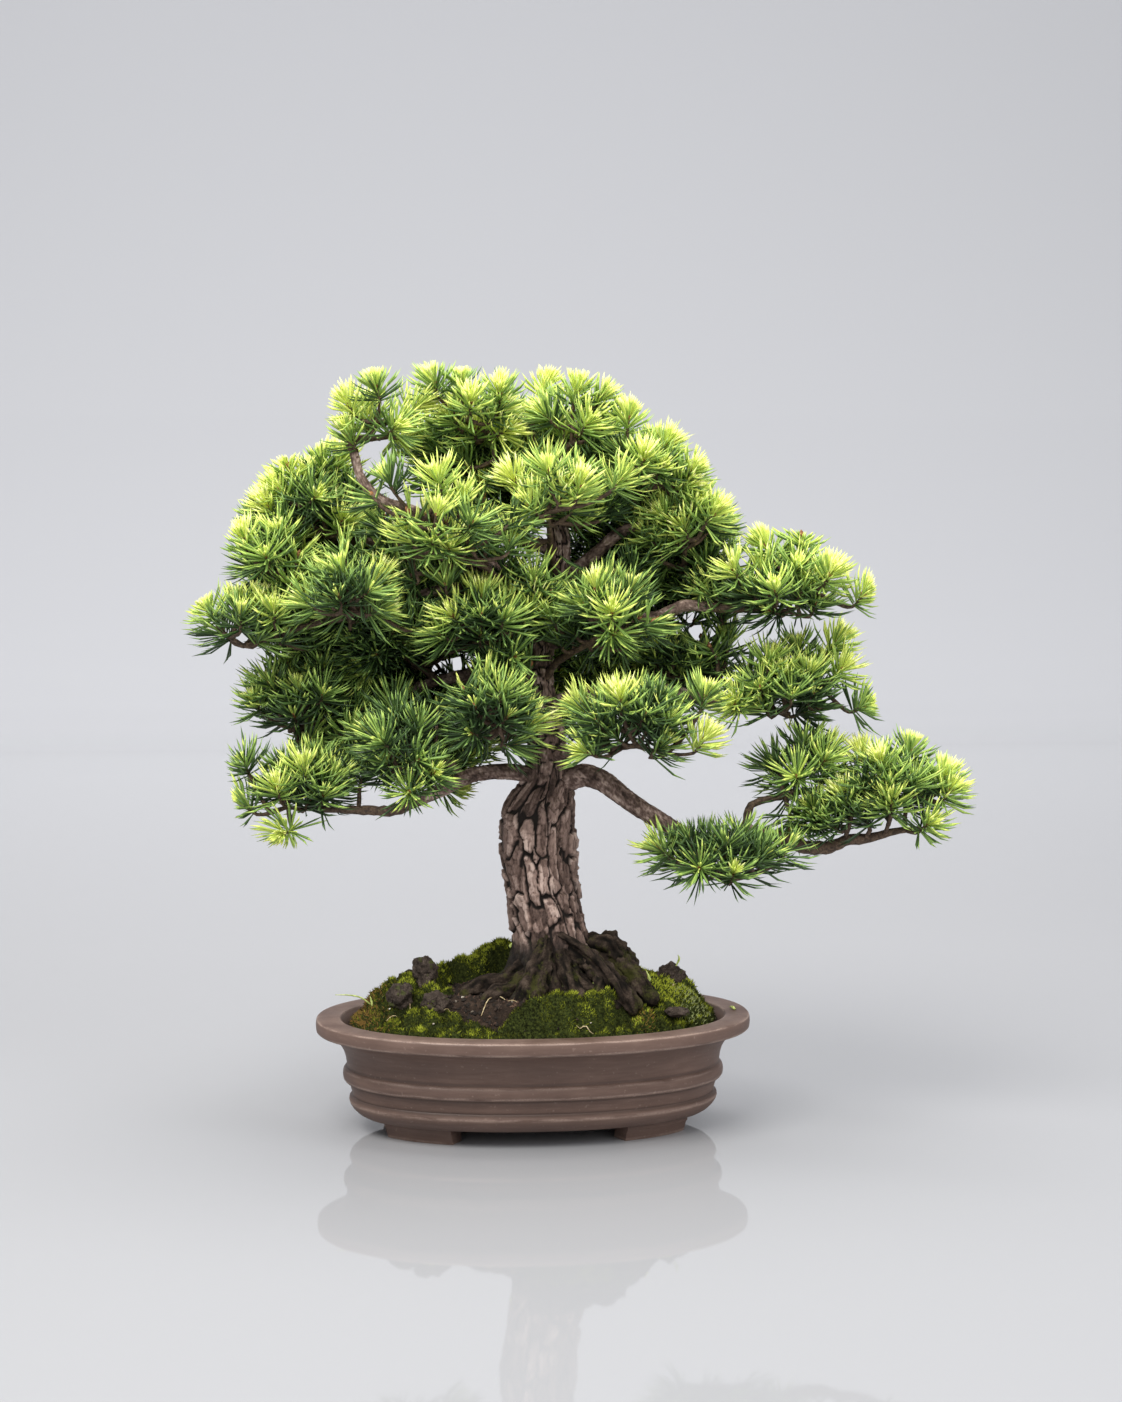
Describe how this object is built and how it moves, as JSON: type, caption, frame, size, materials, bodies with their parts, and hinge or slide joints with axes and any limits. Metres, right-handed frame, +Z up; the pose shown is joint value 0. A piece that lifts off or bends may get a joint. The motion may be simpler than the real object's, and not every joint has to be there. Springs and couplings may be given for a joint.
{
  "type": "mugo pine bonsai in a pot",
  "caption": "Small potted pine with a thick plated trunk that leans a little, spreading boughs, tufted needle masses and a long low bough to one side, in an oval unglazed clay pot on feet.",
  "frame": {"origin": "on the surface that the pot stands on, under the middle of the box round pot and plant", "axes": "+Z up; X along the pot's length, with the tree's long low bough towards +X; the front of the tree faces -Y"},
  "size_m": [0.531, 0.2428, 0.5249],
  "materials": {
    "clay": "unglazed brown clay, satin on its worn edges",
    "soil": "dark crumbly earth",
    "moss": "short green moss cushions",
    "stone": "rough dark stone",
    "root_bark": "dark weathered root",
    "trunk_bark": "plated bark with dark cracks",
    "bough_bark": "scaly brown bark",
    "needles": "green pine needles"
  },
  "bodies": {
    "root": {"pot": "clay", "soil": "soil", "moss_front": "moss", "moss_left": "moss", "moss_right": "moss", "moss_mound": "moss", "stone_knob": "stone", "stone_fan": "stone", "stone_grainy": "stone", "stone_mossy": "stone", "stone_wedge": "stone", "root_burl": "root_bark", "trunk": "trunk_bark", "bough_low_right": "bough_bark", "bough_low_right_spur": "bough_bark", "bough_low_left": "bough_bark", "bough_mid_left": "bough_bark", "bough_left_far": "bough_bark", "bough_shoulder_left": "bough_bark", "bough_upper_left": "bough_bark", "bough_upper_right": "bough_bark", "bough_right_upper": "bough_bark", "bough_right_middle": "bough_bark", "bough_front_right": "bough_bark", "bough_front_left": "bough_bark", "bough_back_low": "bough_bark", "bough_back_left": "bough_bark", "bough_back_right": "bough_bark", "mass_apex": "needles", "mass_apex_left": "needles", "mass_apex_right": "needles", "mass_apex_back": "needles", "mass_shoulder_right": "needles", "mass_right_brow": "needles", "mass_centre_upper": "needles", "mass_centre_left": "needles", "mass_left_crown": "needles", "mass_left_brow": "needles", "mass_left_outer": "needles", "mass_left_far": "needles", "mass_left_middle": "needles", "mass_left_inner": "needles", "mass_low_left_upper": "needles", "mass_low_left_outer": "needles", "mass_low_left_inner": "needles", "mass_low_left_back": "needles", "mass_front_left": "needles", "mass_front_right": "needles", "mass_centre_low": "needles", "mass_centre_right": "needles", "mass_right_upper": "needles", "mass_right_middle": "needles", "mass_low_right_crown": "needles", "mass_low_right_outer": "needles", "mass_low_right_hanging": "needles", "mass_back_left": "needles", "mass_back_right": "needles", "mass_back_low": "needles", "mass_back_low_right": "needles"}
  },
  "joints": []
}
